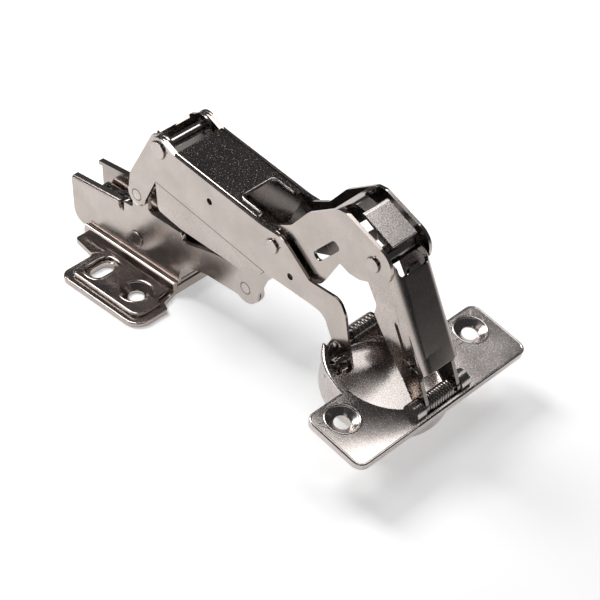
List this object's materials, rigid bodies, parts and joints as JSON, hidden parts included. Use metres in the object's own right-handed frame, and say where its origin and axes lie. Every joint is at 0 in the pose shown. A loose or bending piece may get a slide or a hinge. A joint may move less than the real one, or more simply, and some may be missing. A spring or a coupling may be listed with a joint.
{
  "type": "concealed cup hinge",
  "caption": "Wide-angle concealed cup hinge of nickel-plated sheet steel with its screw-on mounting plate.",
  "frame": {"origin": "mounting face of the plate, midway between its two round screw holes", "axes": "+X along the arm towards the cup, +Y across the hinge, +Z out of the mounting face"},
  "size_m": [0.139, 0.0632, 0.0644],
  "materials": {
    "arm_steel": "satin nickel plate, warm light grey",
    "dark_steel": "satin nickel plate that mirrors the dark studio",
    "plate_steel": "satin nickel plate",
    "cup_steel": "finely speckled matt nickel plate",
    "screw_steel": "bright plated screws",
    "pin_steel": "bright riveted pins",
    "spring_steel": "dark oiled spring steel"
  },
  "bodies": {
    "arm": {"mounting_plate": "plate_steel", "hinge_arm": "arm_steel", "adjuster_bridge": "plate_steel", "depth_screw": "screw_steel", "screw_washer": "screw_steel", "overlay_screw": "screw_steel", "arm_rivet": "pin_steel", "arm_pin_back": "pin_steel", "arm_pin_front": "pin_steel"},
    "rear_link": {"rear_link": "arm_steel"},
    "scissor_lever": {"scissor_lever": "arm_steel", "knuckle_rivets": "pin_steel", "lever_cover": "cup_steel"},
    "outer_link": {"box_link": "dark_steel", "link_pin": "pin_steel", "side_plate_left": "arm_steel", "side_plate_right": "arm_steel", "box_pin": "pin_steel", "spring_pin": "pin_steel", "closing_spring": "spring_steel"},
    "cup": {"hinge_cup": "cup_steel", "cup_pin_back": "pin_steel", "cup_pin_front": "pin_steel", "spring_sleeves": "pin_steel"},
    "cup_lever": {"cup_lever": "dark_steel", "knuckle_pin": "pin_steel"}
  },
  "joints": [
    {"name": "lever_fold", "type": "hinge", "parent": "arm", "child": "scissor_lever", "pos_m": [0.0355, 0, 0.0195], "axis": [0, -1, 0], "range_deg": [-42, 68]},
    {"name": "rear_link_turn", "type": "hinge", "parent": "arm", "child": "rear_link", "pos_m": [-0.0075, 0, 0.0277], "axis": [0, -1, 0], "range_deg": [-42, 68]},
    {"name": "outer_link_turn", "type": "hinge", "parent": "scissor_lever", "child": "outer_link", "pos_m": [0.048, 0, 0.042], "axis": [0, -1, 0], "range_deg": [-68, 42]},
    {"name": "cup_turn", "type": "hinge", "parent": "outer_link", "child": "cup", "pos_m": [0.07363, 0, 0.01817], "axis": [0, -1, 0], "range_deg": [-63, 102]},
    {"name": "cup_lever_turn", "type": "hinge", "parent": "cup", "child": "cup_lever", "pos_m": [0.09782, 0, 0.01651], "axis": [0, -1, 0], "range_deg": [-81.6, 50.4]}
  ],
  "couplings": [
    {"joint": "rear_link_turn", "follows": "lever_fold", "ratio": 1},
    {"joint": "outer_link_turn", "follows": "lever_fold", "ratio": -1},
    {"joint": "cup_turn", "follows": "lever_fold", "ratio": 1.5},
    {"joint": "cup_lever_turn", "follows": "lever_fold", "ratio": -1.2}
  ]
}
